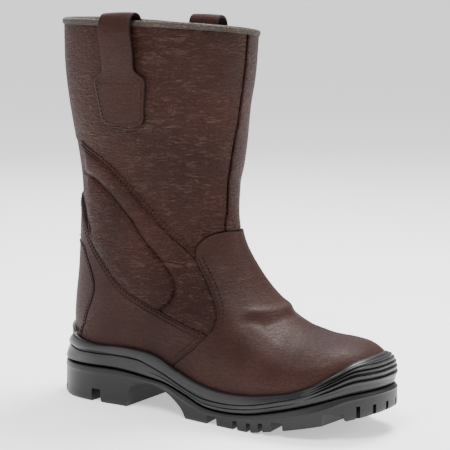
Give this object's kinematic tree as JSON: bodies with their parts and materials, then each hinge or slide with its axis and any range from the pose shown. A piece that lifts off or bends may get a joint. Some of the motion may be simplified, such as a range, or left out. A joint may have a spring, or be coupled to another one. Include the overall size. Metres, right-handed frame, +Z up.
{
  "type": "rigger boot",
  "caption": "Tall pull-on leather work boot with pull straps, padded ankle panels, a toe bumper and a deep-lugged moulded rubber sole.",
  "frame": {"origin": "middle of the bounding box, on the ground", "axes": "+X towards the toe, +Y towards the inner side of the right foot, +Z up the shaft"},
  "size_m": [0.3032, 0.1413, 0.3212],
  "materials": {
    "brown_leather": "tumbled full-grain",
    "smooth_leather": "smooth full-grain, soft gloss",
    "collar_binding": "matt",
    "sole_rubber": "semi-matt",
    "midsole_foam": "semi-matt",
    "insole_cloth": "woven, matt"
  },
  "bodies": {
    "root": {"upper": "brown_leather", "ankle_panel_outer": "smooth_leather", "ankle_panel_inner": "smooth_leather", "quarter_outer": "smooth_leather", "quarter_inner": "smooth_leather", "vamp": "smooth_leather", "heel_counter": "smooth_leather", "collar_binding": "collar_binding", "pull_strap_outer": "brown_leather", "pull_strap_inner": "brown_leather", "insole": "insole_cloth", "midsole": "midsole_foam", "outsole": "sole_rubber"}
  },
  "joints": []
}
